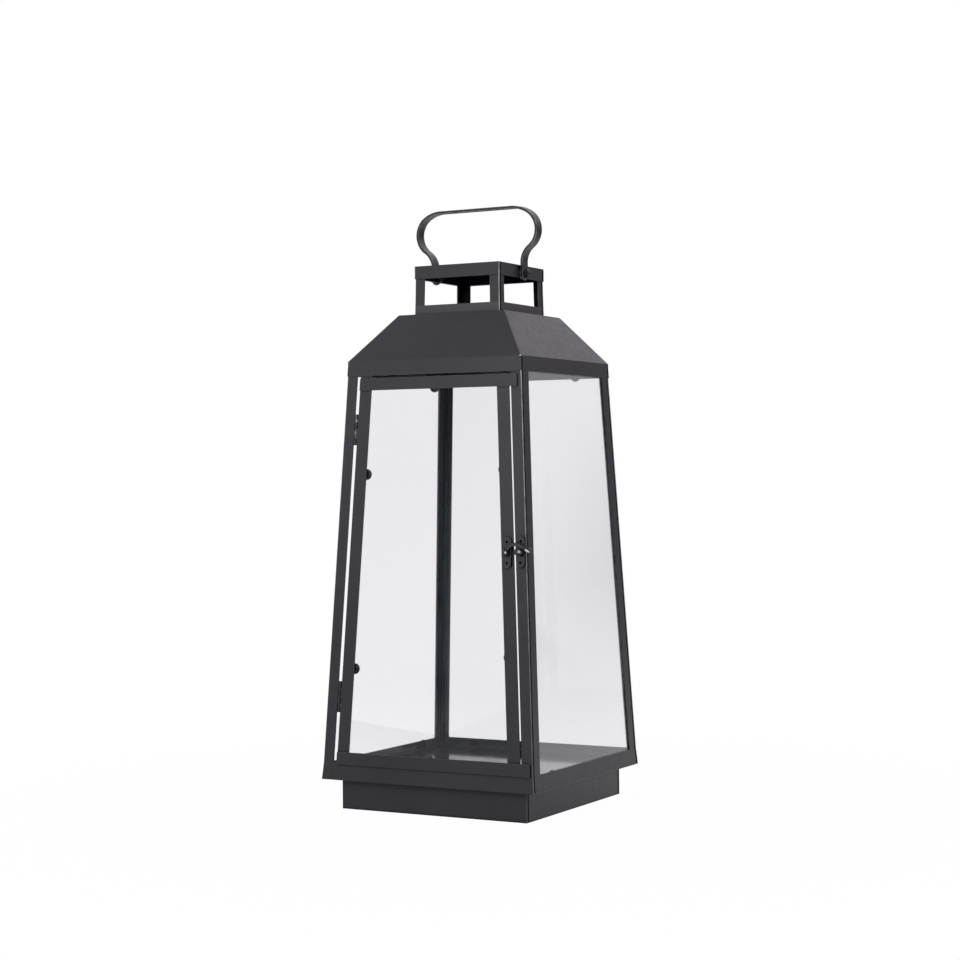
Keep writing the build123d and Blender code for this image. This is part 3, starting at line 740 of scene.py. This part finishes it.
def make_world():
    """A white backdrop. Reflections see a studio that is dimmer near the horizon and on the door's side.

    A tall white card stands behind the lantern, where the right pane mirrors it."""
    world = bpy.data.worlds.new("studio")
    scene.world = world
    world.use_nodes = True
    tree = world.node_tree
    backdrop = tree.nodes["Background"]
    direction = tree.nodes.new("ShaderNodeTexCoord").outputs["Generated"]
    x, y, z = parts_of(tree, direction)
    high = spread(tree, z, 0.08, 1.38, *studio_rise)
    rear = spread(tree, y, 0.1, 1, *studio_depth)
    studio = maths(tree, "MULTIPLY", high, rear)
    card = maths(tree, "MULTIPLY", towards_card(tree, x, y), rear)
    card = maths(tree, "MULTIPLY", card, spread(tree, z, 0.62, 1.05, *card_foot))
    studio = maths(tree, "MAXIMUM", studio, card)
    clear = shown(tree, y)
    strength = number_mix(tree, mirrored(tree), fill_light, studio)
    tree.links.new(number_mix(tree, clear, strength, 1.0), backdrop.inputs["Strength"])
    tree.links.new(colour_mix(tree, clear, fill_tint, (1, 1, 1)), backdrop.inputs["Color"])


lamp_target = (0, 0, 0.3)


def softbox(name, place, size, power):
    """A square lamp that lights the lantern but has no mirror image in the glass."""
    lamp = bpy.data.lights.new(name, "AREA")
    lamp.shape = "SQUARE"
    lamp.size = size
    lamp.energy = power
    lamp.use_nodes = True
    tree = lamp.node_tree
    reflections = tree.nodes.new("ShaderNodeLightPath").outputs["Glossy Depth"]
    tree.links.new(not_yet(tree, reflections), tree.nodes["Emission"].inputs["Strength"])
    holder = bpy.data.objects.new(name, lamp)
    holder.location = place
    aim = Vector(lamp_target) - Vector(place)
    holder.rotation_euler = aim.to_track_quat("-Z", "Y").to_euler()
    holder.visible_camera = False
    holder.visible_transmission = False
    scene.collection.objects.link(holder)


make_floor()
make_world()
softbox("key", (-1.1, -1.0, 0.6), size=0.35, power=2.6)
softbox("front", (-0.3, -1.4, 0.55), size=0.3, power=4.5)
softbox("back_right", (1.2, 1.3, 1.0), size=0.9, power=1.4)


# Camera, as fitted to the photograph: its turn round the lantern, distance, height, roll and focal length

turn = math.radians(28.78)
roll = math.radians(-0.433)
camera_distance = 1.7785
camera_height = 0.2756
sideways = -0.00113
focal_pixels = 2071.5
frame_pixels = 960
sensor = 36.0

back = Vector((math.sin(turn), -math.cos(turn), 0))
right = Vector((math.cos(turn), math.sin(turn), 0))
up = Vector((0, 0, 1))
tilted_right = math.cos(roll) * right + math.sin(roll) * up
tilted_up = math.cos(roll) * up - math.sin(roll) * right
lens = bpy.data.cameras.new("camera")
lens.sensor_width = sensor
lens.lens = sensor * focal_pixels / frame_pixels
camera = bpy.data.objects.new("camera", lens)
axes = Matrix((tilted_right, tilted_up, back)).transposed().to_4x4()
camera_place = camera_distance * back + camera_height * up + sideways * right
camera.matrix_world = Matrix.Translation(camera_place) @ axes
scene.collection.objects.link(camera)
scene.camera = camera

scene.view_settings.view_transform = "Standard"
